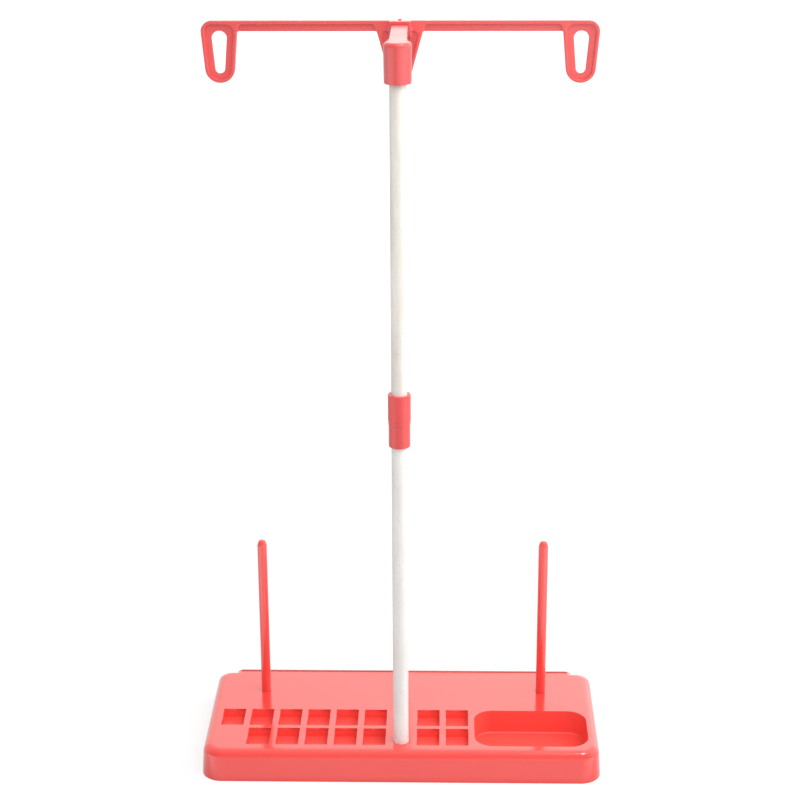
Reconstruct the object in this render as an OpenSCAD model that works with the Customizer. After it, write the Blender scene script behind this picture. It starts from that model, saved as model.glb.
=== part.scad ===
// Three spool thread rack: moulded base with bobbin slots and a notions tray,
// three spool pins, a two part mast and a guide bar with three thread loops.
// Millimetres, +Z up. The origin is the centre of the base's footprint on the table.
// +Y points to the back of the rack.

/* [Base] */
// Width of the base at its foot
base_w = 209.6; // [208:0.1:240]
// Depth of the base at its foot
base_d = 93; // [91:1:120]
// Height of the base's top face above the table
base_h = 17; // [16:0.5:26]
// Radius of the base's upright corners at the foot
base_corner_r = 11; // [8:0.5:16]
// How far each outside wall leans in over the base's height
base_draft = 1; // [0.4:0.1:2]
// Radius of the rounded edge round the top face
base_edge_r = 4.75; // [2:0.25:5.5]
// Thickness of the base's walls and of its top plate
base_wall = 2; // [1.4:0.1:2.6]
// Height of the low lip along the back edge
lip_h = 0.4; // [0.2:0.1:3]
// Thickness of the lip
lip_t = 1.2; // [0.8:0.1:2.5]
// Distance from the upright corners to the ends of the lip
lip_inset = 0.2; // [0:0.1:30]
// Length of the slope at each end of the lip
lip_end_l = 2.4; // [1:0.1:6]
// Height of that slope
lip_end_h = 1.4; // [0.4:0.1:3]
// Depth of the stiffening ribs under the top plate
rib_h = 7; // [3:0.5:10]
// Thickness of the stiffening ribs
rib_t = 1.2; // [0.8:0.1:2]

/* [Bobbin slots] */
// Width of a slot, across the bobbin
slot_w = 11.8; // [10:0.1:12.6]
// Length of a slot, front to back
slot_l = 17.3; // [12:0.1:17.6]
// Depth of a slot
slot_depth = 4.8; // [4.6:0.1:7]
// Web left between neighbouring slots in a row
slot_web = 3.5; // [2.8:0.1:3.7]
// Land left between the front row and the back row
row_web = 3.1; // [2.8:0.1:6]
// Distance from the mast's axis to the nearest slot on either side
mast_land = 8.3; // [7.8:0.1:9]
// How far the front row starts in front of the mast's axis
slot_lead = 4.7; // [0:0.1:5]
// Columns of slots left of the mast
slots_left = 6; // [2:1:6]
// Columns of slots right of the mast
slots_right = 2; // [1:1:2]
// Wall of the pocket that hangs under each slot
pocket_wall = 1.2; // [0.8:0.1:1.3]

/* [Notions tray] */
// Width of the tray at the top face
tray_w = 60; // [40:0.2:61]
// Length of the tray, front to back
tray_l = 38; // [26:0.5:40]
// Depth of the tray
tray_depth = 13; // [6:0.5:13.5]
// Radius of the tray's upright corners
tray_corner_r = 10; // [5:0.5:12]
// Radius between the tray's wall and its floor
tray_floor_r = 1; // [0.5:0.25:3]
// How far the tray's wall leans in over its depth
tray_draft = 0.6; // [0.2:0.1:1.2]
// Land between the last slot and the tray
tray_land = 3.3; // [2.8:0.1:3.6]
// How far the tray starts in front of the mast's axis
tray_lead = 5.3; // [2:0.1:6]

/* [Spool pins] */
// Diameter of a spool pin
pin_d = 5.2; // [3:0.1:6]
// Height of a pin above the base
pin_h = 90.7; // [50:0.1:120]
// Distance of the side pins from the sides of the foot
pin_inset = 29.2; // [21:0.1:44]
// Distance of the side pins behind the mast's axis
pin_side_y = 54.6; // [45:0.5:60]
// Distance of the centre pin behind the mast's axis
pin_centre_y = 71.4; // [60:0.5:72]
// Radius of a pin's round tip, as a share of the pin's own radius
tip_share = 0.7; // [0.4:0.05:0.85]
// Lean of the short taper below the tip, in degrees
tip_lean = 25; // [15:1:30]
// Diameter of the tenon that stands in the base
tenon_d = 4; // [2:0.1:4.6]
// Length of the tenon
tenon_l = 11; // [6:0.5:12]

/* [Mast] */
// Distance of the mast's axis behind the front of the foot
mast_inset = 14; // [12:0.5:16]
// Outside diameter of both tubes
tube_d = 8; // [6:0.1:9]
// Wall of the tubes
tube_wall = 0.8; // [0.5:0.1:1.5]
// Height of the coupler's lower rim above the base's top face
coupler_z = 166.5; // [120:0.5:200]
// Length of the coupler
coupler_h = 27.4; // [20:0.2:40]
// Wall of the coupler's upper half
coupler_wall = 1.65; // [1:0.05:2.5]
// How much thinner the wall of the coupler's lower half is
coupler_step = 0.3; // [0.1:0.05:0.5]
// Thickness of the ring inside the coupler that both tubes rest on
stop_t = 2; // [1:0.2:4]
// How far that ring reaches in from the tubes' outside
stop_reach = 1.2; // [0.8:0.1:2]
// Height of the guide bar's socket, its top face, above the base's top face
head_z = 367.6; // [300:0.1:420]

/* [Head socket] */
// Height of the socket's collar
collar_h = 19.4; // [14:0.1:26]
// Wall of the collar at its top
collar_wall = 2.7; // [2:0.05:4]
// How much thinner the collar's wall is at its lower rim
collar_taper = 0.2; // [0.05:0.05:1]
// Thickness of the collar's closed top
collar_roof = 3; // [2:0.2:5]
// Radius of the rounded edge at the collar's top
collar_edge_r = 2; // [0.4:0.1:2.5]
// Distance from the mast's axis back to the guide bar's front face
arm_l = 49.5; // [35:0.5:55]
// Width of the arm where it leaves the collar
arm_root_w = 8.5; // [8:0.1:10]
// Width of the arm where it enters the guide bar
arm_tip_w = 8; // [6:0.1:8.6]
// Radius that blends the arm's sides into the collar
arm_blend_r = 2.5; // [1:0.1:4]
// Height of the arm
arm_h = 5.2; // [4:0.1:7]
// Thickness of the arm's walls, which leave its underside cored out
arm_wall = 1.6; // [1:0.1:2]
// Diameter of the moulding gate's mark on the collar's front
mark_d = 1.2; // [0.8:0.1:2]
// Distance from the collar's top down to that mark
mark_drop = 2; // [1.5:0.1:5]

/* [Guide bar] */
// Length of the guide bar over its two end loops
bar_l = 195; // [160:0.5:210]
// Height of the bar between the loops
bar_h = 5.3; // [4:0.1:7]
// Thickness of the bar at its rim
bar_t = 3.8; // [3:0.1:6]
// Thickness of the web inside the rim
web_t = 1.3; // [1:0.1:2.8]
// Height of the rim along the bar's top
flange_h = 1.8; // [1:0.1:2.4]
// Width of the rim round each loop
rim_w = 1.8; // [1.2:0.1:2.2]
// Rim left between a loop and the recess along the bar
rim_land = 0.7; // [0.3:0.1:2]
// Depth of all three loops below the bar's top
loop_drop = 30.5; // [24:0.1:40]
// Radius of an end loop's lower end
loop_low_r = 7.4; // [5.5:0.1:8]
// Radius of an end loop's upper corners
loop_high_r = 5.3; // [3.5:0.1:6]
// Lean of an end loop's sides, in degrees
loop_lean = 4.9; // [2:0.1:7]
// Distance from an end loop's lower tip up to its eye
eye_foot = 4.6; // [3.6:0.1:6]
// Radius of an eye's lower end
eye_low_r = 2.4; // [2.1:0.1:3]
// Length of the straight between the round upper corners of an end loop's eye
eye_flat = 0.3; // [0.1:0.1:3]
// Distance from the bar's top down to an end loop's eye
eye_head = 5.1; // [3.4:0.1:6]
// Lean of an eye's sides, in degrees
eye_lean = 5; // [2:0.1:8]
// Radius of the centre loop's lower end
vee_low_r = 5.7; // [4.6:0.1:6.5]
// Lean of the centre loop's sides, in degrees
vee_lean = 15.5; // [10:0.5:20]
// Depth of the box across the bar that holds the arm's tip
box_depth = 6.8; // [5.8:0.1:12]
// How far that box stands out in front of the bar
box_lead = 2; // [0.5:0.1:3]
// Wall of that box
box_wall = 1.45; // [1.2:0.05:2.2]
// Diameter of the moulding gate's stub on top of the box
gate_d = 1.8; // [1:0.1:3]
// Height of the gate's stub
gate_h = 0.5; // [0.3:0.1:1.5]

/* [Fits] */
// Clearance round a tube in its socket
tube_fit = 0.05; // [0.02:0.01:0.1]
// Clearance round a pin's tenon in its socket
tenon_fit = 0.05; // [0.02:0.01:0.1]
// Clearance round the arm's tip in the guide bar
tip_fit = 0.05; // [0:0.01:0.1]
// Wall of the bosses that hold the pins and the mast
boss_wall = 2.2; // [1.4:0.1:2.4]

/* [Hidden] */
$fn = 96;

// Overshoot of a cut past the face it opens
cut = 1;
// How far inside a round edge a straight side ends
hair = 0.005;
// Gap from the table to the lowest inside face of a boss or pocket
floor_gap = 0.5;
// How far the gate's mark stands out of the collar
mark_out = 0.1;

red = [0.94, 0.33, 0.31];
pin_red = [0.97, 0.26, 0.22];
tube_white = [0.93, 0.91, 0.88];

// Places of the side pins, of the rows and of the tray
pin_x = base_w / 2 - pin_inset;
mast_y = mast_inset - base_d / 2;
front_row_y = mast_y - slot_lead;
back_row_y = front_row_y + slot_l + row_web;
tray_y = mast_y - tray_lead;
back_top_y = base_d / 2 - base_draft;

// Slots and tray along the width of the base
slot_pitch = slot_w + slot_web;
tray_x = mast_land + slots_right * slot_w + (slots_right - 1) * slot_web + tray_land;
pocket_floor_z = base_h - slot_depth - pocket_wall;

// Sockets in the base
mast_floor_z = floor_gap + base_wall;
tenon_r = tenon_d / 2;
tenon_floor_z = base_h - tenon_l;

// Heights on the mast
coupler_low_z = base_h + coupler_z;
coupler_step_z = coupler_low_z + coupler_h / 2;
stop_low_z = coupler_low_z + (coupler_h - stop_t) / 2;
stop_high_z = stop_low_z + stop_t;
collar_top_z = base_h + head_z;
collar_low_z = collar_top_z - collar_h;
collar_seat_z = collar_top_z - collar_roof;
tube_r = tube_d / 2;
bore_r = tube_r + tube_fit;

// The arm's tip and the box on the guide bar that takes it
tip_l = box_depth - box_wall + tip_fit;
tip_start = arm_l - box_lead;
box_w = arm_tip_w + 2 * tip_fit + 2 * box_wall;
box_h = arm_h + 2 * tip_fit + 2 * box_wall;
bar_y = mast_y + arm_l;
bar_top_z = collar_top_z + tip_fit + box_wall;

// Loops, in the plane of the guide bar, with x from the loop's middle and z from the bar's top.
// A disc is [x, z, radius], and an outline runs tangent to its discs.
loop_half_w = loop_low_r / cos(loop_lean) + (loop_drop - loop_low_r - loop_high_r) * tan(loop_lean);
loop_x = bar_l / 2 - loop_half_w;
loop_discs = hanging_discs(loop_drop, loop_low_r, loop_high_r, loop_high_r, loop_lean);
eye_drop = loop_drop - eye_foot;
eye_high_r = round_top_r(eye_drop, eye_low_r, eye_head, eye_flat, eye_lean);
eye_discs = hanging_discs(eye_drop, eye_low_r, eye_head + eye_high_r, eye_high_r, eye_lean);
vee_recess_r = 2.2;
vee_recess_z = bar_h + vee_recess_r - 0.2;
vee_discs = hanging_discs(loop_drop - rim_w, vee_low_r - rim_w, vee_recess_z, vee_recess_r, vee_lean);
vee_half_w = vee_low_r / cos(vee_lean) + (loop_drop - vee_low_r - bar_h) * tan(vee_lean);
vee_eye_z = box_h + 2 * eye_low_r;
vee_eye_discs = hanging_discs(eye_drop, eye_low_r, vee_eye_z, eye_low_r, eye_lean);

// Three discs of a loop that hangs from the bar and widens upwards by the lean of its sides
function hanging_discs(drop, low_r, high_z, high_r, lean) =
    let (
        half_w = low_r / cos(lean) + (drop - low_r - high_z) * tan(lean),
        high_x = half_w - high_r / cos(lean)
    )
    [[0, low_r - drop, low_r], [high_x, -high_z, high_r], [-high_x, -high_z, high_r]];

// Radius of the upper corners that leaves a straight of the given length between them
function round_top_r(drop, low_r, head, flat, lean) =
    (low_r + (drop - low_r - head) * sin(lean) - flat / 2 * cos(lean)) / (1 + sin(lean));

// The same discs with less radius, for an outline set in by an even margin
function set_in(discs, margin) = [for (d = discs) [d[0], d[1], d[2] - margin]];

// Ends of the straight side that runs from disc a to disc b. It lies a hair inside both discs,
// so that it meets their rims at a clear angle.
function side_points(a, b) =
    let (
        step = [b[0] - a[0], b[1] - a[1]],
        turn = atan2(step[1], step[0]) - acos((a[2] - b[2]) / norm(step)),
        out = [cos(turn), sin(turn)]
    )
    [[a[0], a[1]] + (a[2] - hair) * out, [b[0], b[1]] + (b[2] - hair) * out];

// Outline round three discs
module disc_outline(discs) {
    polygon([for (i = [0:2]) each side_points(discs[i], discs[(i + 1) % 3])]);
    for (d = discs)
        translate([d[0], d[1]])
            circle(r = d[2]);
}

// Half section of a moulded wall block: the wall leans in by the draft and ends in a round edge
module wall_section(reach, h, draft, edge_r) {
    lean = atan(draft / h);
    centre = [reach - edge_r / cos(lean) - (h - edge_r) * tan(lean), h - edge_r];
    polygon([
        [0, 0], [reach, 0], centre + edge_r * [cos(lean), sin(lean)], centre, [centre[0], h], [0, h]
    ]);
    intersection() {
        translate(centre)
            circle(r = edge_r);
        translate(centre)
            square(2 * edge_r);
    }
}

// Moulded block on the floor: drafted walls, round upright corners and a round top edge.
// Each side and each corner is drawn from one section about the corner's own axis.
module moulded_block(w, d, h, corner_r, draft, edge_r) {
    core = [w - 2 * corner_r, d - 2 * corner_r, h];
    translate([-core[0] / 2, -core[1] / 2, 0])
        cube(core);
    for (turn = [0:3]) {
        out = core[turn % 2] / 2;
        along = core[1 - turn % 2];
        rotate([0, 0, 90 * turn])
            translate([out, along / 2, 0]) {
                rotate([90, 0, 0])
                    linear_extrude(along)
                        wall_section(corner_r, h, draft, edge_r);
                rotate_extrude(angle = 90)
                    wall_section(corner_r, h, draft, edge_r);
            }
    }
}

// Places an item at each bobbin slot, by the slot's middle. The left front corner has no slot.
module at_slots() {
    for (row = [0, 1])
        for (side = [-1, 1])
            for (i = [0:(side < 0 ? slots_left : slots_right) - 1])
                if (row == 1 || side > 0 || i < slots_left - 1)
                    translate([
                        side * (mast_land + slot_w / 2 + i * slot_pitch),
                        (row == 0 ? front_row_y : back_row_y) + slot_l / 2,
                        0
                    ])
                        children();
}

module slot_cuts() {
    at_slots()
        translate([-slot_w / 2, -slot_l / 2, base_h - slot_depth])
            cube([slot_w, slot_l, slot_depth + cut]);
}

module slot_pockets() {
    pocket_w = slot_w + 2 * pocket_wall;
    pocket_l = slot_l + 2 * pocket_wall;
    at_slots()
        translate([-pocket_w / 2, -pocket_l / 2, pocket_floor_z])
            cube([pocket_w, pocket_l, base_h - pocket_floor_z]);
}

// The tray is a moulded block upside down, grown by a margin for the pocket that holds it.
// It starts above the top face by the overshoot.
module tray_form(margin) {
    translate([tray_x + tray_w / 2, tray_y + tray_l / 2, base_h + cut])
        rotate([180, 0, 0])
            moulded_block(
                tray_w + 2 * margin, tray_l + 2 * margin, tray_depth + margin + cut,
                tray_corner_r + margin, tray_draft, tray_floor_r + margin
            );
}

// Places an item at each spool pin
module at_pins() {
    for (x = [-pin_x, pin_x])
        translate([x, mast_y + pin_side_y, 0])
            children();
    translate([0, mast_y + pin_centre_y, 0])
        children();
}

module pin_bosses() {
    boss_low_z = tenon_floor_z - base_wall;
    at_pins()
        translate([0, 0, boss_low_z])
            cylinder(r = tenon_r + tenon_fit + boss_wall, h = base_h - boss_low_z);
}

module pin_bores() {
    at_pins()
        translate([0, 0, tenon_floor_z])
            cylinder(r = tenon_r + tenon_fit, h = tenon_l + cut);
}

module mast_boss() {
    translate([0, mast_y, floor_gap])
        cylinder(r = bore_r + boss_wall, h = base_h - floor_gap);
}

module mast_bore() {
    translate([0, mast_y, mast_floor_z])
        cylinder(r = bore_r, h = base_h);
}

// Ribs under the top plate: one across through the side pins' bosses, one along each boss's line
module ribs() {
    plate_and_rib = base_wall + rib_h;
    row_end_y = back_row_y + slot_l;
    pin_y = mast_y + pin_side_y;
    translate([-base_w / 2, pin_y - rib_t / 2, base_h - plate_and_rib])
        cube([base_w, rib_t, plate_and_rib]);
    for (x = [-pin_x, 0, pin_x])
        translate([x - rib_t / 2, row_end_y, base_h - plate_and_rib])
            cube([rib_t, base_d / 2 - row_end_y, plate_and_rib]);
}

// What hangs inside the hollow base under its top plate
module base_inside() {
    slot_pockets();
    tray_form(pocket_wall);
    pin_bosses();
    mast_boss();
    ribs();
}

// Low lip that stands on the back edge and takes the place of its round edge there.
// Its section runs along the edge, and its outline from behind slopes at both ends.
module back_lip() {
    ledge = base_edge_r + base_wall;
    foot_z = base_h - ledge;
    top_z = base_h + lip_h;
    slope_z = top_z - lip_end_h;
    half_l = base_w / 2 - base_corner_r - lip_inset;
    intersection() {
        rotate([90, 0, 90])
            translate([0, 0, -half_l])
                linear_extrude(2 * half_l)
                    polygon([
                        [back_top_y - ledge, foot_z], [base_d / 2 - base_draft * foot_z / base_h, foot_z],
                        [back_top_y, base_h], [back_top_y, top_z], [back_top_y - lip_t, top_z],
                        [back_top_y - lip_t, base_h], [back_top_y - ledge, base_h]
                    ]);
        translate([0, base_d / 2 + cut, 0])
            rotate([90, 0, 0])
                linear_extrude(2 * ledge)
                    polygon([
                        [-half_l, foot_z], [half_l, foot_z], [half_l, slope_z],
                        [half_l - lip_end_l, top_z], [lip_end_l - half_l, top_z], [-half_l, slope_z]
                    ]);
    }
}

module base_cavity() {
    inner_h = base_h - base_wall;
    translate([0, 0, -cut])
        moulded_block(
            base_w - 2 * base_wall, base_d - 2 * base_wall, inner_h + cut,
            base_corner_r - base_wall, base_draft, max(0.5, base_edge_r - base_wall)
        );
}

module base_shell() {
    color(red)
        difference() {
            union() {
                moulded_block(base_w, base_d, base_h, base_corner_r, base_draft, base_edge_r);
                back_lip();
            }
            difference() {
                base_cavity();
                base_inside();
            }
            slot_cuts();
            tray_form(0);
            pin_bores();
            mast_bore();
        }
}

// Half section of a spool pin about its own axis: tenon, shaft, short taper and round tip
module pin_section() {
    pin_r = pin_d / 2;
    tip_r = tip_share * pin_r;
    taper_h = (pin_r * cos(tip_lean) - tip_r) / sin(tip_lean);
    shaft_h = pin_h - taper_h - tip_r;
    centre = [0, shaft_h + taper_h];
    translate([0, -tenon_l])
        square([tenon_r, tenon_l + shaft_h]);
    polygon([
        [0, 0], [pin_r, 0], [pin_r, shaft_h], centre + tip_r * [cos(tip_lean), sin(tip_lean)], centre
    ]);
    intersection() {
        translate(centre)
            circle(r = tip_r);
        translate(centre)
            square(tip_r);
    }
}

module spool_pin(x, behind_mast) {
    color(pin_red)
        translate([x, mast_y + behind_mast, base_h])
            rotate_extrude()
                pin_section();
}

module mast_tube(low_z, high_z) {
    color(tube_white)
        translate([0, mast_y, low_z])
            difference() {
                cylinder(r = tube_r, h = high_z - low_z);
                translate([0, 0, -cut])
                    cylinder(r = tube_r - tube_wall, h = high_z - low_z + 2 * cut);
            }
}

// Sleeve that joins the two tubes end to end. It is a little thinner below its middle, with a bead there.
module mast_coupler() {
    outer_r = bore_r + coupler_wall;
    low_r = outer_r - coupler_step;
    bead_r = outer_r - coupler_step / 2;
    bead_h = 7 * coupler_step;
    bead_low_z = coupler_step_z - bead_h;
    chamfer = coupler_step;
    color(red)
        translate([0, mast_y, 0])
            rotate_extrude()
                polygon([
                    [bore_r, coupler_low_z], [low_r - chamfer, coupler_low_z],
                    [low_r, coupler_low_z + chamfer], [low_r, bead_low_z],
                    [bead_r, bead_low_z + chamfer / 2], [bead_r, coupler_step_z],
                    [outer_r, coupler_step_z + chamfer / 2],
                    [outer_r, coupler_low_z + coupler_h - chamfer],
                    [outer_r - chamfer, coupler_low_z + coupler_h], [bore_r, coupler_low_z + coupler_h],
                    [bore_r, stop_high_z], [tube_r - stop_reach, stop_high_z],
                    [tube_r - stop_reach, stop_low_z], [bore_r, stop_low_z]
                ]);
}

// Half section of the collar about the mast's axis, closed at the top and rounded there
module collar_section() {
    top_r = bore_r + collar_wall;
    difference() {
        translate([0, collar_low_z])
            wall_section(top_r, collar_h, 0, collar_edge_r);
        polygon([
            [top_r - collar_taper, collar_low_z - cut], [top_r + cut, collar_low_z - cut],
            [top_r + cut, collar_top_z - collar_edge_r], [top_r, collar_top_z - collar_edge_r],
            [top_r - collar_taper, collar_low_z]
        ]);
    }
}

// Arm from the collar back to the guide bar, seen from above
module arm_plan() {
    polygon([
        [-arm_root_w / 2, 0], [arm_root_w / 2, 0], [arm_tip_w / 2, tip_start],
        [arm_tip_w / 2, tip_start + tip_l], [-arm_tip_w / 2, tip_start + tip_l], [-arm_tip_w / 2, tip_start]
    ]);
}

// Corners between the arm and the collar, filled to a radius that runs tangent to both
module arm_blends() {
    collar_r = bore_r + collar_wall;
    lean = atan((arm_root_w - arm_tip_w) / 2 / tip_start);
    reach = collar_r + arm_blend_r;
    side = arm_root_w / 2 * cos(lean) + arm_blend_r;
    turn = acos(side / reach);
    middle = reach * [cos(lean + turn), sin(lean + turn)];
    on_arm = middle - arm_blend_r * [cos(lean), sin(lean)];
    on_collar = middle * collar_r / reach;
    for (flip = [0, 1])
        mirror([flip, 0])
            difference() {
                polygon([[0, 0], on_collar, middle, on_arm, [0, on_arm[1]]]);
                translate(middle)
                    circle(r = arm_blend_r + hair);
            }
}

// Hollow that is cored out of the arm's underside between the collar and the guide bar
module arm_core() {
    start_y = bore_r + collar_wall + arm_wall;
    end_y = tip_start - arm_wall;
    translate([0, 0, collar_top_z - arm_h - cut])
        linear_extrude(arm_h - arm_wall + cut)
            polygon([
                [arm_wall - arm_root_w / 2, start_y], [arm_root_w / 2 - arm_wall, start_y],
                [arm_tip_w / 2 - arm_wall, end_y], [arm_wall - arm_tip_w / 2, end_y]
            ]);
}

// Mark that the moulding gate leaves on the collar's front
module gate_mark() {
    collar_r = bore_r + collar_wall;
    translate([0, -collar_r / 2, collar_top_z - mark_drop])
        rotate([90, 0, 0])
            cylinder(d = mark_d, h = collar_r / 2 + mark_out);
}

module head_socket() {
    color(red)
        translate([0, mast_y, 0])
            difference() {
                union() {
                    rotate_extrude()
                        collar_section();
                    translate([0, 0, collar_top_z - arm_h])
                        linear_extrude(arm_h) {
                            arm_plan();
                            arm_blends();
                        }
                    gate_mark();
                }
                translate([0, 0, collar_low_z - cut])
                    cylinder(r = bore_r, h = collar_seat_z - collar_low_z + cut);
                arm_core();
            }
}

// Outline of the centre loop, which runs straight up into the bar
module vee_outline() {
    low = [0, vee_low_r - loop_drop, vee_low_r];
    right = [vee_half_w, -bar_h, 0];
    left = [-vee_half_w, -bar_h, 0];
    polygon([
        each side_points(low, right), [vee_half_w, -bar_h / 2], [-vee_half_w, -bar_h / 2],
        each side_points(left, low)
    ]);
    translate([low[0], low[1]])
        circle(r = vee_low_r);
}

module bar_outline() {
    translate([-loop_x, -bar_h])
        square([2 * loop_x, bar_h]);
    for (x = [-loop_x, loop_x])
        translate([x, 0])
            disc_outline(loop_discs);
    vee_outline();
}

// Shallow recess along one arm of the bar, open below and round at its upper corners
module arm_recess() {
    corner_r = bar_h / 2 - flange_h / 2;
    start_x = vee_half_w + rim_land;
    end_x = loop_x - loop_half_w - rim_land;
    translate([start_x, -bar_h - cut])
        square([end_x - start_x, bar_h + cut - flange_h - corner_r]);
    translate([start_x + corner_r, -flange_h - 2 * corner_r])
        square([end_x - start_x - 2 * corner_r, 2 * corner_r]);
    for (x = [start_x + corner_r, end_x - corner_r])
        translate([x, -flange_h - corner_r])
            circle(r = corner_r);
}

module recess_outline() {
    for (x = [-loop_x, loop_x])
        translate([x, 0])
            disc_outline(set_in(loop_discs, rim_w));
    disc_outline(vee_discs);
    arm_recess();
    mirror([1, 0])
        arm_recess();
}

module eye_outline() {
    for (x = [-loop_x, loop_x])
        translate([x, 0])
            disc_outline(eye_discs);
    disc_outline(vee_eye_discs);
}

// Raises an outline in the bar's plane to a plate about the middle of the bar's thickness
module bar_plate(thickness) {
    translate([0, bar_y + (bar_t + thickness) / 2, bar_top_z])
        rotate([90, 0, 0])
            linear_extrude(thickness)
                children();
}

// Box across the bar, closed at the back, that the arm's tip is pushed into from the front
module tip_box() {
    translate([-box_w / 2, bar_y - box_lead, bar_top_z - box_h])
        cube([box_w, box_depth, box_h]);
}

module tip_box_bore() {
    bore_w = box_w - 2 * box_wall;
    translate([-bore_w / 2, bar_y - box_lead - cut, bar_top_z - box_h + box_wall])
        cube([bore_w, tip_l + cut, box_h - 2 * box_wall]);
}

module guide_bar() {
    color(red)
        difference() {
            union() {
                bar_plate(web_t)
                    difference() {
                        bar_outline();
                        eye_outline();
                    }
                bar_plate(bar_t)
                    difference() {
                        bar_outline();
                        recess_outline();
                    }
                tip_box();
                translate([0, bar_y - box_lead + box_depth - gate_d, bar_top_z - box_wall / 2])
                    cylinder(d = gate_d, h = gate_h + box_wall / 2);
            }
            tip_box_bore();
        }
}

base_shell();
spool_pin(-pin_x, pin_side_y);  // spool_pin_left
spool_pin(pin_x, pin_side_y);  // spool_pin_right
spool_pin(0, pin_centre_y);  // spool_pin_centre
mast_tube(mast_floor_z, stop_low_z);  // mast_tube_lower
mast_coupler();
mast_tube(stop_high_z, collar_seat_z);  // mast_tube_upper
head_socket();
guide_bar();
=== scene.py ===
import math

import bmesh
import bpy
from mathutils import Matrix, Vector


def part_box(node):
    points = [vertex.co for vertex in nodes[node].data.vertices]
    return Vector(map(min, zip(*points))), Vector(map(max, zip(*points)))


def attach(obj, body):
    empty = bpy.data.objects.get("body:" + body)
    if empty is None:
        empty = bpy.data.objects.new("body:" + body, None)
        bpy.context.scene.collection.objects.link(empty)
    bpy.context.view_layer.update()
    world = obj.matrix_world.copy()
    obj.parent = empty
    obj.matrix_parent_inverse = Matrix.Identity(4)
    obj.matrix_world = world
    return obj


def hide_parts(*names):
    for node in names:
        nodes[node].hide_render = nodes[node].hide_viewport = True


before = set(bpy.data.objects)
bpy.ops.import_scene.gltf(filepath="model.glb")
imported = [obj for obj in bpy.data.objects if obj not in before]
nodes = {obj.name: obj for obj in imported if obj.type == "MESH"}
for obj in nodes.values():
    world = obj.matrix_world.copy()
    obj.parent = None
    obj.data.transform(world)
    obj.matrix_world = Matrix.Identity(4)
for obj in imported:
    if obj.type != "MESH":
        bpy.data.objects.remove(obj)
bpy.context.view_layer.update()  # the imported nodes
mm = 0.001
print("rack: frame loaded with", len(nodes), "nodes")


# Shader building

def feed(tree, socket, value):
    # A socket takes another node's output or a plain value
    if isinstance(value, bpy.types.NodeSocket):
        tree.links.new(value, socket)
    else:
        socket.default_value = value


def addNode(tree, kind, inputs=None, **settings):
    node = tree.nodes.new(kind)
    for key, value in settings.items():
        setattr(node, key, value)
    for key, value in (inputs or {}).items():
        feed(tree, node.inputs[key], value)
    return node


def reckon(tree, operation, *values):
    node = addNode(tree, "ShaderNodeMath", dict(enumerate(values)), operation=operation)
    return node.outputs[0]


def split(tree, vector):
    return addNode(tree, "ShaderNodeSeparateXYZ", {"Vector": vector}).outputs


def objectPoint(tree, stretch=(1, 1, 1)):
    # Point on the piece in metres, stretched so that a pattern can run along one axis
    place = addNode(tree, "ShaderNodeTexCoord").outputs["Object"]
    return addNode(tree, "ShaderNodeMapping", {"Vector": place, "Scale": stretch}).outputs[0]


def noiseAt(tree, point, scale, detail=2.0, roughness=0.5):
    inputs = {"Vector": point, "Scale": scale, "Detail": detail, "Roughness": roughness}
    return addNode(tree, "ShaderNodeTexNoise", inputs).outputs["Fac"]


def spread(tree, value, low, high, toLow=0.0, toHigh=1.0):
    inputs = {"Value": value, "From Min": low, "From Max": high, "To Min": toLow, "To Max": toHigh}
    return addNode(tree, "ShaderNodeMapRange", inputs).outputs["Result"]


def mixColors(tree, share, colorA, colorB):
    mix = addNode(tree, "ShaderNodeMix", {0: share, 6: colorA, 7: colorB}, data_type="RGBA")
    return mix.outputs[2]


def mixValues(tree, share, valueA, valueB):
    mix = addNode(tree, "ShaderNodeMix", {0: share, 2: valueA, 3: valueB}, data_type="FLOAT")
    return mix.outputs[0]


def bumpFrom(tree, height, distance, below=None):
    inputs = {"Height": height, "Distance": distance, "Strength": 1.0}
    bump = addNode(tree, "ShaderNodeBump", inputs)
    if below:
        feed(tree, bump.inputs["Normal"], below)
    return bump.outputs["Normal"]


def newMaterial(name):
    material = bpy.data.materials.new(name)
    material.use_nodes = True
    tree = material.node_tree
    return material, tree, tree.nodes["Principled BSDF"]


def grey(level):
    return (level, level, level, 1)


# Share of the base that lies in a pocket: below the top face and inside its rounded edge.
# The tool is left unpolished there, and its paler colour there is painted light on the shaded
# walls.

def pocketShare(tree, pockets):
    place = split(tree, objectPoint(tree))
    low, high = pockets["low"], pockets["high"]
    share = None
    for axis, edge, way in (("X", low[0], 1), ("X", high[0], -1), ("Y", low[1], 1),
                            ("Y", high[1], -1), ("Z", high[2], -1)):
        past = spread(tree, place[axis], edge, edge + way * pockets["blend"])
        share = past if share is None else reckon(tree, "MINIMUM", share, past)
    return share


# Moulded red plastic. Flow marks tint it, handling dulls its gloss and the tool's polish
# leaves a faint ripple. Its skin is the glossy coat over it.

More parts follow.
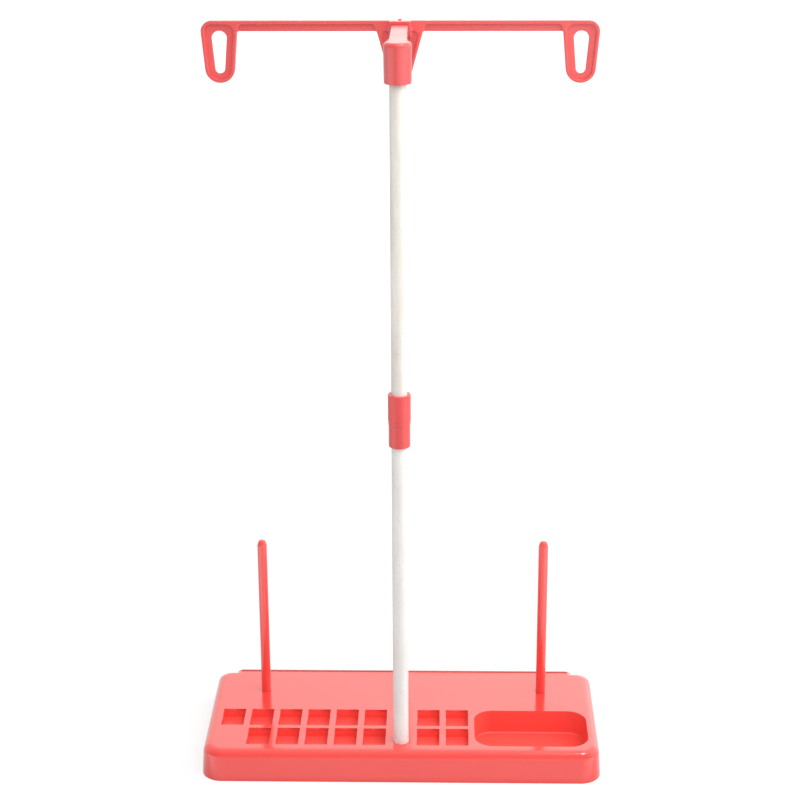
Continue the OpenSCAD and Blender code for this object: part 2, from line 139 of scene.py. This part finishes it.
def mouldedRed(name, look, pockets=None):
    material, tree, skin = newMaterial(name)
    flow = noiseAt(tree, objectPoint(tree, look["flowStretch"]), look["flowScale"], detail=3.0)
    tint = spread(tree, flow, *look["flowRange"])
    color = mixColors(tree, tint, look["color"], look["flowColor"])
    smudge = noiseAt(tree, objectPoint(tree), look["smudgeScale"], detail=4.0, roughness=0.6)
    scratch = noiseAt(tree, objectPoint(tree, look["scratchStretch"]), look["scratchScale"])
    dull = spread(tree, smudge, *look["smudgeRange"], look["gloss"], look["dull"])
    worn = spread(tree, scratch, *look["scratchRange"], 0.0, look["scratchDull"])
    gloss = reckon(tree, "ADD", dull, worn)
    coat = look["skin"]
    if pockets:
        inside = pocketShare(tree, pockets)
        height = split(tree, objectPoint(tree))["Z"]
        lipShadeShare = spread(tree, height, pockets["lipFoot"], pockets["lipFoot"] + pockets["blend"])
        # Pockets are paler than the top face: painted light on their shaded walls and floors.
        color = mixColors(tree, inside, color, pockets["color"])
        # The back lip is darker: painted shade on its small front face.
        color = mixColors(tree, lipShadeShare, color, pockets["lipPaintedShade"])
        gloss = spread(tree, inside, 0.0, 1.0, gloss, pockets["gloss"])
        coat = spread(tree, inside, 0.0, 1.0, look["skin"], pockets["skin"])
    wave = noiseAt(tree, objectPoint(tree), look["rippleScale"])
    ripple = bumpFrom(tree, wave, look["rippleDepth"])
    grain = noiseAt(tree, objectPoint(tree), look["grainScale"], detail=3.0)
    coatDull = spread(tree, smudge, *look["smudgeRange"], look["skinGloss"], look["skinDull"])
    inputs = {
        "Base Color": color,
        "Roughness": gloss,
        "IOR": look["ior"],
        "Normal": bumpFrom(tree, grain, look["grainDepth"], ripple),
        "Coat Weight": coat,
        "Coat Roughness": coatDull,
        "Coat Normal": ripple,
    }
    for key, value in inputs.items():
        feed(tree, skin.inputs[key], value)
    return material


baseLook = {
    "color": (0.92, 0.060, 0.050, 1),
    "flowColor": (0.90, 0.055, 0.046, 1),
    "flowStretch": (1, 2.5, 1),
    "flowScale": 14,
    "flowRange": (0.3, 0.7),
    "smudgeScale": 55,
    "smudgeRange": (0.35, 0.75),
    "gloss": 0.15,
    "dull": 0.21,
    "scratchStretch": (40, 900, 40),
    "scratchScale": 1.0,
    "scratchRange": (0.66, 0.74),
    "scratchDull": 0.05,
    "rippleScale": 60,
    "rippleDepth": 0.02 * mm,
    "grainScale": 1400,
    "grainDepth": 0.003 * mm,
    "ior": 1.59,
    "skin": 1.0,
    "skinGloss": 0.11,
    "skinDull": 0.16,
}
pinLook = dict(
    baseLook, color=(0.94, 0.076, 0.065, 1), flowColor=(0.92, 0.070, 0.060, 1),
    flowStretch=(1, 1, 0.3), flowScale=40, gloss=0.20, dull=0.28, scratchStretch=(900, 900, 30),
    rippleDepth=0.01 * mm, skinGloss=0.14, skinDull=0.22
)
couplerLook = dict(
    baseLook, color=(0.79, 0.061, 0.060, 1), flowColor=(0.76, 0.055, 0.055, 1),
    flowStretch=(1, 1, 0.4), flowScale=60, gloss=0.34, dull=0.44, scratchStretch=(700, 700, 40),
    rippleScale=220, rippleDepth=0.008 * mm, skin=0.35, skinGloss=0.24, skinDull=0.34
)
# The head and bar are pinker than the base: painted light for the pale haze over the top of the
# rack.
headLook = dict(
    couplerLook, color=(0.80, 0.073, 0.072, 1), flowColor=(0.77, 0.067, 0.066, 1), skin=0.9,
    skinGloss=0.18, skinDull=0.28
)
barLook = dict(
    headLook, color=(0.86, 0.082, 0.080, 1), flowColor=(0.83, 0.074, 0.074, 1),
    flowStretch=(0.4, 1, 1), flowScale=30, gloss=0.26, dull=0.34, skinGloss=0.16, skinDull=0.24
)


# White paint on the tubes: brushed on thick, with grey brush marks along the tube and small
# specks near the foot

tubeLook = {
    "color": (0.91, 0.870, 0.81, 1),
    "streakColor": (0.75, 0.705, 0.645, 1),
    "streakStretch": (260, 260, 22),
    "streakScale": 1.0,
    "patchStretch": (60, 60, 26),
    "patchScale": 1.0,
    "brushRange": (0.75, 1.3),
    "speckColor": (0.36, 0.33, 0.31, 1),
    "speckScale": 1500,
    "speckRange": (0.71, 0.78),
    "speckShare": 0.8,
    "footReach": 12 * mm,
    "footSpecks": 0.10,
    "gloss": 0.36,
    "dull": 0.56,
    "coatDepth": 0.05 * mm,
    "grainScale": 1100,
    "grainDepth": 0.01 * mm,
}
# The lower tube has the same paint with a cooler tone and paler brush marks.
lowerTubeLook = dict(tubeLook, color=(0.88, 0.865, 0.84, 1), streakColor=(0.80, 0.775, 0.74, 1))


def paintedWhite(name, look, footZ):
    material, tree, skin = newMaterial(name)
    point = objectPoint(tree)
    along = objectPoint(tree, look["streakStretch"])
    blotch = objectPoint(tree, look["patchStretch"])
    streak = noiseAt(tree, along, look["streakScale"], detail=3.0, roughness=0.55)
    patch = noiseAt(tree, blotch, look["patchScale"], detail=3.0, roughness=0.6)
    both = reckon(tree, "ADD", streak, patch)
    brushed = mixColors(
        tree, spread(tree, both, *look["brushRange"]), look["color"], look["streakColor"])
    height = split(tree, point)["Z"]
    nearFoot = spread(tree, height, footZ + look["footReach"], footZ, 0.0, look["footSpecks"])
    speck = reckon(tree, "ADD", noiseAt(tree, point, look["speckScale"], detail=1.0), nearFoot)
    specks = spread(tree, speck, *look["speckRange"], 0.0, look["speckShare"])
    coat = bumpFrom(tree, streak, look["coatDepth"])
    grain = noiseAt(tree, point, look["grainScale"])
    inputs = {
        "Base Color": mixColors(tree, specks, brushed, look["speckColor"]),
        "Roughness": spread(tree, both, *look["brushRange"], look["gloss"], look["dull"]),
        "Normal": bumpFrom(tree, grain, look["grainDepth"], coat),
    }
    for key, value in inputs.items():
        feed(tree, skin.inputs[key], value)
    return material


tenonLength = 11 * mm  # a pin's shoulder rests on the base's top face
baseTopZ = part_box("spool_pin_left")[0].z + tenonLength
baseLow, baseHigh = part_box("base_shell")
pocketInset = 5.6 * mm
pocketDrop = 0.15 * mm
basePockets = {
    "low": (baseLow.x + pocketInset, baseLow.y + pocketInset),
    "high": (baseHigh.x - pocketInset, baseHigh.y - pocketInset, baseTopZ - pocketDrop),
    "blend": 0.2 * mm,
    # paler than the base: painted light in the slots and tray
    "color": (0.93, 0.088, 0.070, 1),
    "gloss": 0.42,
    "skin": 0.1,
    "lipFoot": baseTopZ + 0.02 * mm,
    # darker red on the lip: painted shade
    "lipPaintedShade": (0.50, 0.055, 0.050, 1),
}
materials = {
    "base": mouldedRed("glossyRedBase", baseLook, basePockets),
    "pin": mouldedRed("glossyRedPin", pinLook),
    "coupler": mouldedRed("satinRedCoupler", couplerLook),
    "head": mouldedRed("satinRedHead", headLook),
    "bar": mouldedRed("satinRedBar", barLook),
    "upperTube": paintedWhite("whiteUpperTube", tubeLook, baseTopZ),
    "lowerTube": paintedWhite("whiteLowerTube", lowerTubeLook, baseTopZ),
}
print("rack: materials mixed:", ", ".join(materials))


# What all pieces share: a smooth object in the scene, and its seat on a body

def newPiece(name, shell, material):
    mesh = bpy.data.meshes.new(name)
    shell.to_mesh(mesh)
    shell.free()
    mesh.polygons.foreach_set("use_smooth", [True] * len(mesh.polygons))
    mesh.materials.append(material)
    piece = bpy.data.objects.new(name, mesh)
    bpy.context.scene.collection.objects.link(piece)
    return piece


def seat(piece, body, node):
    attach(piece, body)
    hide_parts(node)


# Moulded pieces: the frame's own shape with its sharp edges rounded as the mould leaves them.
# Inner corners stay sharp, as do the edges inside a spared box.

moulding = {"merge": 0.02 * mm, "flatAngle": 0.05, "edgeAngle": 40}


def within(point, low, high):
    return all(low[axis] <= point[axis] <= high[axis] for axis in range(3))


def sparedBox(middleX, halfWidth, lowY, highY, lowZ, highZ):
    return (middleX - halfWidth, lowY, lowZ), (middleX + halfWidth, highY, highZ)


def moulded(name, node, body, material, edge, shape=None):
    shell = bmesh.new()
    shell.from_mesh(nodes[node].data)
    if shape:
        for vertex in shell.verts:
            shape(vertex.co)
    flat = math.radians(moulding["flatAngle"])
    bmesh.ops.remove_doubles(shell, verts=shell.verts, dist=moulding["merge"])
    bmesh.ops.dissolve_limit(shell, angle_limit=flat, verts=shell.verts, edges=shell.edges)
    bmesh.ops.triangulate(shell, faces=shell.faces)
    bmesh.ops.recalc_face_normals(shell, faces=shell.faces)
    soft = shell.edges.layers.float.new("bevel_weight_edge")
    edgeAngle = math.radians(moulding["edgeAngle"])
    for crease in shell.edges:
        if len(crease.link_faces) != 2 or crease.calc_face_angle() <= edgeAngle:
            continue
        middle = (crease.verts[0].co + crease.verts[1].co) / 2
        if crease.is_convex and not any(within(middle, *box) for box in edge["spared"]):
            crease[soft] = 1.0
        else:
            crease.smooth = False
    piece = newPiece(name, shell, material)
    rounding = piece.modifiers.new("mouldedEdge", "BEVEL")
    rounding.width = edge["radius"]
    rounding.segments = edge["steps"]
    rounding.limit_method = "WEIGHT"
    rounding.use_clamp_overlap = False
    rounding.loop_slide = False
    shading = piece.modifiers.new("evenShading", "WEIGHTED_NORMAL")
    shading.keep_sharp = True
    seat(piece, body, node)


baseCorner = {"frontRadius": 11 * mm, "backRadius": 7.5 * mm}
lipEnd = {"fromMiddle": 94 * mm, "reach": 1.5 * mm, "below": 6 * mm, "above": 1 * mm}
baseEdge = {
    "radius": 0.18 * mm,
    "steps": 2,
    "spared": [
        sparedBox(endX, lipEnd["reach"], baseHigh.y - lipEnd["reach"], baseHigh.y,
                  baseTopZ - lipEnd["below"], baseTopZ + lipEnd["above"])
        for endX in (-lipEnd["fromMiddle"], lipEnd["fromMiddle"])
    ],
}


def tightenBackCorner(point):
    # A point in a back corner moves out along its own radius, from the wide arc to the tight one
    wide, tight = baseCorner["frontRadius"], baseCorner["backRadius"]
    middleX, middleY = baseHigh.x - wide, baseHigh.y - wide
    outX, outY = abs(point.x) - middleX, point.y - middleY
    if outX <= 0 or outY <= 0:
        return
    reach = math.hypot(outX, outY)
    along, across = max(outX, outY) / reach, min(outX, outY) / reach
    inset = wide - tight
    touch = math.atan2(inset, wide)
    if math.atan2(across, along) <= touch:
        edge = wide / along
    else:
        toward = inset * (along + across)
        edge = toward + math.sqrt(toward ** 2 - 2 * inset ** 2 + tight ** 2)
    grow = edge / wide
    point.x = math.copysign(middleX + outX * grow, point.x)
    point.y = middleY + outY * grow


moulded("base_moulding", "base_shell", "base", materials["base"], baseEdge,
        tightenBackCorner)

barLow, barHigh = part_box("guide_bar")
boxMouth = {"halfWidth": 4.3 * mm, "depth": 0.2 * mm, "bottom": 9 * mm, "top": 1.6 * mm}
barEdge = {
    "radius": 0.45 * mm,
    "steps": 3,
    "spared": [
        sparedBox(0, boxMouth["halfWidth"], barLow.y - boxMouth["depth"],
                  barLow.y + boxMouth["depth"], barHigh.z - boxMouth["bottom"],
                  barHigh.z - boxMouth["top"])
    ],
}
moulded("guide_bar_moulding", "guide_bar", "head", materials["bar"], barEdge)

headLow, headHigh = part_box("head_socket")
gateMark = {"halfWidth": 0.9 * mm, "front": -0.2 * mm, "back": 1.5 * mm, "bottom": 3 * mm,
            "top": 1.1 * mm}
armBlend = {"fromMiddle": 5 * mm, "halfWidth": 2 * mm, "front": 8 * mm, "back": 13.5 * mm}
headEdge = {
    "radius": 0.25 * mm,
    "steps": 2,
    "spared": [
        sparedBox(0, gateMark["halfWidth"], headLow.y + gateMark["front"],
                  headLow.y + gateMark["back"], headHigh.z - gateMark["bottom"],
                  headHigh.z - gateMark["top"])
    ] + [
        sparedBox(sideX, armBlend["halfWidth"], headLow.y + armBlend["front"],
                  headLow.y + armBlend["back"], headLow.z, headHigh.z)
        for sideX in (-armBlend["fromMiddle"], armBlend["fromMiddle"])
    ],
}
moulded("head_socket_moulding", "head_socket", "head", materials["head"], headEdge)
print("rack: base, head socket and guide bar rounded")


# Turned pieces: a profile of (radius, height) swept round an upright axis

turning = {"steps": 96, "merge": 0.0005 * mm, "sharpAngle": 35, "onAxis": 0.0001 * mm}


def middleOf(node):
    low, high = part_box(node)
    return (low + high) / 2


def turned(name, profile, node, body, material):
    shell = bmesh.new()
    centre = middleOf(node)
    steps = turning["steps"]
    rings = []
    for radius, height in profile:
        if radius < turning["onAxis"]:
            rings.append([shell.verts.new((centre.x, centre.y, height))])
            continue
        ring = []
        for step in range(steps):
            angle = 2 * math.pi * step / steps
            x = centre.x + radius * math.cos(angle)
            y = centre.y + radius * math.sin(angle)
            ring.append(shell.verts.new((x, y, height)))
        rings.append(ring)
    for lower, upper in zip(rings, rings[1:]):
        for step in range(steps):
            after = (step + 1) % steps
            corners = [lower[step % len(lower)], lower[after % len(lower)],
                       upper[after % len(upper)], upper[step % len(upper)]]
            shell.faces.new(list(dict.fromkeys(corners)))
    bmesh.ops.remove_doubles(shell, verts=shell.verts, dist=turning["merge"])
    bmesh.ops.recalc_face_normals(shell, faces=shell.faces)
    piece = newPiece(name, shell, material)
    piece.data.set_sharp_from_angle(angle=math.radians(turning["sharpAngle"]))
    seat(piece, body, node)


def rounded(corners, steps=5):
    # Corners are (radius, height, round); each round becomes an arc tangent to both sides
    points = []
    for index, (radius, height, fillet) in enumerate(corners):
        here = Vector((radius, height))
        if fillet == 0 or index in (0, len(corners) - 1):
            points.append(tuple(here))
            continue
        before = (Vector(corners[index - 1][:2]) - here).normalized()
        after = (Vector(corners[index + 1][:2]) - here).normalized()
        half = before.angle(after) / 2
        reach = fillet / math.tan(half)
        middle = here + (before + after).normalized() * (fillet / math.sin(half))
        start, end = here + before * reach - middle, here + after * reach - middle
        for step in range(steps + 1):
            blend = start.lerp(end, step / steps).normalized() * fillet
            points.append(tuple(middle + blend))
    return points


pinShape = {
    "tenonRadius": 2.0 * mm,
    "tenonRound": 0.3 * mm,
    "radius": 2.6 * mm,
    "shoulderRound": 0.25 * mm,
    "taperHeight": 1.27 * mm,
    "taperRound": 1.5 * mm,
    "tipRadius": 1.82 * mm,
    "tipShrink": 0.97,
    "tipDrop": 0.42 * mm,
    "tipRound": 1.35 * mm,
    "arcSteps": 8,
}


def makePin(side):
    node = "spool_pin_" + side
    low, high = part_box(node)
    shape = pinShape
    taperZ = high.z - shape["tipRadius"] - shape["taperHeight"]
    profile = rounded([
        (0, low.z, 0),
        (shape["tenonRadius"], low.z, shape["tenonRound"]),
        (shape["tenonRadius"], baseTopZ, 0),
        (shape["radius"], baseTopZ, shape["shoulderRound"]),
        (shape["radius"], taperZ, shape["taperRound"]),
        (shape["tipRadius"] * shape["tipShrink"], high.z - shape["tipDrop"], shape["tipRound"]),
        (0, high.z, 0),
    ], shape["arcSteps"])
    turned(side + "_spool_pin", profile, node, "pin_" + side, materials["pin"])


for side in ("left", "right", "centre"):
    makePin(side)

tubeShape = {"radius": 4.0 * mm, "wall": 0.8 * mm, "rimRound": 0.2 * mm}


def makeTube(name, node, body, material):
    low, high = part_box(node)
    outer, inner = tubeShape["radius"], tubeShape["radius"] - tubeShape["wall"]
    rim = tubeShape["rimRound"]
    middle = (low.z + high.z) / 2
    profile = rounded([
        (outer, middle, 0), (outer, high.z, rim), (inner, high.z, rim),
        (inner, low.z, rim), (outer, low.z, rim), (outer, middle, 0)
    ])
    turned(name, profile, node, body, material)


makeTube("lower_tube_painted", "mast_tube_lower", "lower_tube", materials["lowerTube"])
makeTube("upper_tube_painted", "mast_tube_upper", "upper_tube", materials["upperTube"])

couplerShape = {
    "bore": 4.05 * mm,
    "wall": 1.65 * mm,
    "step": 0.3 * mm,
    "stopReach": 2.8 * mm,
    "stopHeight": 2 * mm,
    "stopRound": 0.2 * mm,
    "beadHeight": 2.1 * mm,
    "beadRise": 0.15 * mm,
    "beadRound": 0.08 * mm,
    "rimRound": 0.35 * mm,
    "boreRound": 0.25 * mm,
}


def makeCoupler():
    low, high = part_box("mast_coupler")
    shape = couplerShape
    bore, stop = shape["bore"], shape["stopReach"]
    outer = bore + shape["wall"]
    lower = outer - shape["step"]
    stepHeight = (low.z + high.z) / 2
    stopLow = stepHeight - shape["stopHeight"] / 2
    stopHigh = stopLow + shape["stopHeight"]
    bead = stepHeight - shape["beadHeight"]
    rise, soft = shape["beadRise"], shape["beadRound"]
    profile = rounded([
        (bore, stopLow, 0),
        (bore, low.z, shape["boreRound"]),
        (lower, low.z, shape["rimRound"]),
        (lower, bead, soft),
        (outer - rise, bead + rise, soft),
        (outer - rise, stepHeight, soft),
        (outer, stepHeight + rise, soft),
        (outer, high.z, shape["rimRound"]),
        (bore, high.z, shape["boreRound"]),
        (bore, stopHigh, 0),
        (stop, stopHigh, shape["stopRound"]),
        (stop, stopLow, shape["stopRound"]),
        (bore, stopLow, 0),
    ])
    turned("mast_coupler_sleeve", profile, "mast_coupler", "coupler",
           materials["coupler"])


makeCoupler()
print("rack: pins, tubes and coupler turned")


# Studio: white table and walls, large soft lamps at the right and in front, weak ones beside
# them, and a ceiling window that is only seen as a highlight on the base's corner

floorLook = {
    "size": 6.0,
    "seenPaint": 0.24,
    "lightPaint": (0.62, 0.64),
    "grainScale": 300,
    "near": 0.25,
    "far": 0.9,
    "nearGlow": 0.78,
    "farGlow": 1.0,
    "backShare": 0.5,
    "mirrorBand": (0.065, 0.115),
    "frontMirror": 0.66,
    "sideMirror": 1.45,
    "contact": 6 * mm,
    "contactShadeGlow": 0.4,
    "farHalfWidth": 0.26,
    "farBand": (-1.0, -1.5),
    "farLeft": -0.3,
    "farRight": 0.85,
}


def makeFloor():
    look = floorLook
    half = look["size"] / 2
    corners = [(-half, -half, 0), (half, -half, 0), (half, half, 0), (-half, half, 0)]
    mesh = bpy.data.meshes.new("table_top")
    mesh.from_pydata(corners, [], [(0, 1, 2, 3)])
    floor = bpy.data.objects.new("table_top", mesh)
    bpy.context.scene.collection.objects.link(floor)
    material, tree, skin = newMaterial("paleTable")
    tree.nodes.remove(skin)
    path = addNode(tree, "ShaderNodeLightPath").outputs
    seen = reckon(tree, "MAXIMUM", path["Is Camera Ray"], path["Is Glossy Ray"])
    seen = reckon(tree, "MAXIMUM", seen, path["Is Transmission Ray"])
    grain = noiseAt(tree, objectPoint(tree), look["grainScale"])
    darkest, palest = look["lightPaint"]
    paint = mixColors(tree, grain, grey(darkest), grey(palest))
    plain = addNode(tree, "ShaderNodeBsdfDiffuse", {"Color": paint})
    pale = addNode(tree, "ShaderNodeBsdfDiffuse", {"Color": grey(look["seenPaint"])})
    away = addNode(tree, "ShaderNodeVectorMath", {0: objectPoint(tree)}, operation="LENGTH")
    plainGlow = spread(tree, away.outputs["Value"], look["near"], look["far"],
                       look["nearGlow"], look["farGlow"])
    # A mirror ray meets the table brighter beside and behind the rack than in front of it
    place = split(tree, objectPoint(tree))
    beside = reckon(tree, "ABSOLUTE", place["X"])
    beside = reckon(tree, "MULTIPLY_ADD", place["Y"], look["backShare"], beside)
    mirror = spread(tree, beside, *look["mirrorBand"], look["frontMirror"], look["sideMirror"])
    # Right in front of the base the mirrored table is dimmer: painted contact shade seen in the
    # base's front face.
    contact = spread(tree, place["Y"], baseLow.y - look["contact"], baseLow.y,
                     1.0, look["contactShadeGlow"])
    mirror = reckon(tree, "MULTIPLY", mirror, contact)
    # Far in front, where only the guide bar mirrors it, the table is brighter to the right
    rightward = spread(tree, place["X"], -look["farHalfWidth"], look["farHalfWidth"],
                       look["farLeft"], look["farRight"])
    farOff = spread(tree, place["Y"], *look["farBand"])
    mirror = reckon(tree, "MULTIPLY_ADD", rightward, farOff, mirror)
    strength = mixValues(tree, path["Is Glossy Ray"], plainGlow, mirror)
    glow = addNode(tree, "ShaderNodeEmission", {"Strength": strength})
    both = addNode(tree, "ShaderNodeAddShader", {0: pale.outputs[0], 1: glow.outputs[0]})
    mix = addNode(tree, "ShaderNodeMixShader", {0: seen, 1: plain.outputs[0], 2: both.outputs[0]})
    feed(tree, tree.nodes["Material Output"].inputs["Surface"], mix.outputs[0])
    mesh.materials.append(material)


# Each band is the part of a ray's direction, along one axis, over which a brightness changes
worldLook = {
    "seen": 1.0,
    "light": 0.56,
    "mirrorTint": (1.0, 0.985, 0.955, 1),
    "wallBand": (-0.6, 0.4),
    "room": 0.3,
    "wall": 1.2,
    "eyeBand": (0.8, 1.0),
    "eyeLevel": 0.45,
    "lowBand": (0.26, 0.42),
    "lowFront": 0.4,
    "frontBand": (-0.5, -0.2),
    "slopeBand": (-0.15, 0.15),
    "slope": 0.15,
    "sideBand": (0.15, 0.3),
    "sideWall": -0.12,
}


def makeWorld():
    look = worldLook
    world = bpy.data.worlds.new("studioWalls")
    world.use_nodes = True
    bpy.context.scene.world = world
    tree = world.node_tree
    back = tree.nodes["Background"]
    path = addNode(tree, "ShaderNodeLightPath").outputs
    tint = mixColors(tree, path["Is Glossy Ray"], grey(1), look["mirrorTint"])
    feed(tree, back.inputs["Color"], tint)
    seen = reckon(tree, "MAXIMUM", path["Is Camera Ray"], path["Is Transmission Ray"])
    # A mirror ray meets a bright backdrop, brightest straight behind the rack and to the right,
    # and a dim room in front that is brighter near the floor
    way = split(tree, addNode(tree, "ShaderNodeTexCoord").outputs["Generated"])
    wall = spread(tree, way["Y"], *look["wallBand"], look["room"], look["wall"])
    level = spread(tree, way["Y"], *look["eyeBand"], 0.0, look["eyeLevel"])
    low = spread(tree, way["Z"], *look["lowBand"], look["lowFront"], 0.0)
    front = spread(tree, way["Y"], *look["frontBand"], 1.0, 0.0)
    depth = reckon(tree, "MULTIPLY_ADD", low, front, reckon(tree, "ADD", wall, level))
    slope = spread(tree, way["X"], *look["slopeBand"], 1 - look["slope"], 1 + look["slope"])
    across = reckon(tree, "ABSOLUTE", way["X"])
    sideWall = spread(tree, across, *look["sideBand"], 0.0, look["sideWall"])
    around = reckon(tree, "MULTIPLY", depth, reckon(tree, "ADD", slope, sideWall))
    unseen = mixValues(tree, path["Is Glossy Ray"], look["light"], around)
    feed(tree, back.inputs["Strength"], mixValues(tree, seen, unseen, look["seen"]))


lamps = {
    "keySoftbox": {"place": (1.1, 0.0, 0.8), "aim": (0, 0, 0.15), "size": 1.0, "power": 12.5},
    "frontSoftbox": {"place": (0.0, -0.9, 1.2), "aim": (0, 0, 0.15), "size": 1.2, "power": 6.0},
    "leftFill": {"place": (-1.2, 0.1, 0.6), "aim": (0, 0, 0.15), "size": 1.0, "power": 1.2},
    "rightFill": {"place": (0.5, -0.5, 1.3), "aim": (0.1, 0, 0.1), "size": 0.5, "power": 4.5},
    "ceilingWindow": {"place": (0.40, -0.22, 1.4), "aim": (0.15, 0, 0), "size": 0.42,
                      "height": 0.18, "power": 3.6, "mirrored": True},
}


def makeLamps():
    # A lamp either lights the rack or is mirrored in it
    for name, lamp in lamps.items():
        mirrored = lamp.get("mirrored", False)
        light = bpy.data.lights.new(name, "AREA")
        light.shape = "RECTANGLE"
        light.size = lamp["size"]
        light.size_y = lamp.get("height", lamp["size"])
        light.energy = lamp["power"]
        holder = bpy.data.objects.new(name, light)
        holder.location = lamp["place"]
        holder.visible_glossy = mirrored
        holder.visible_diffuse = not mirrored
        aim = Vector(lamp["aim"]) - holder.location
        holder.rotation_euler = aim.to_track_quat("-Z", "Y").to_euler()
        bpy.context.scene.collection.objects.link(holder)


makeFloor()
makeWorld()
makeLamps()
print("rack: table, walls and", len(lamps), "lamps set")


# Camera, where the photograph was taken from

cameraView = {
    "place": (0.0226, -0.9571, 0.5444),
    "down": 20.0,
    "left": 1.378,
    "roll": -0.287,
    "lens": 89.69,
    "film": 36.0,
    "nearest": 0.02,
    "farthest": 20,
}


def makeCamera():
    view = cameraView
    camera = bpy.data.cameras.new("photoCamera")
    camera.lens = view["lens"]
    camera.sensor_width = view["film"]
    camera.clip_start = view["nearest"]
    camera.clip_end = view["farthest"]
    holder = bpy.data.objects.new("photoCamera", camera)
    turn = Matrix.Rotation(math.radians(view["left"]), 3, "Z")
    tilt = Matrix.Rotation(math.radians(90 - view["down"]), 3, "X")
    roll = Matrix.Rotation(math.radians(view["roll"]), 3, "Z")
    holder.rotation_euler = (turn @ tilt @ roll).to_euler()
    holder.location = view["place"]
    bpy.context.scene.collection.objects.link(holder)
    bpy.context.scene.camera = holder


makeCamera()
bpy.context.scene.view_settings.view_transform = "Standard"
print("rack: camera set")
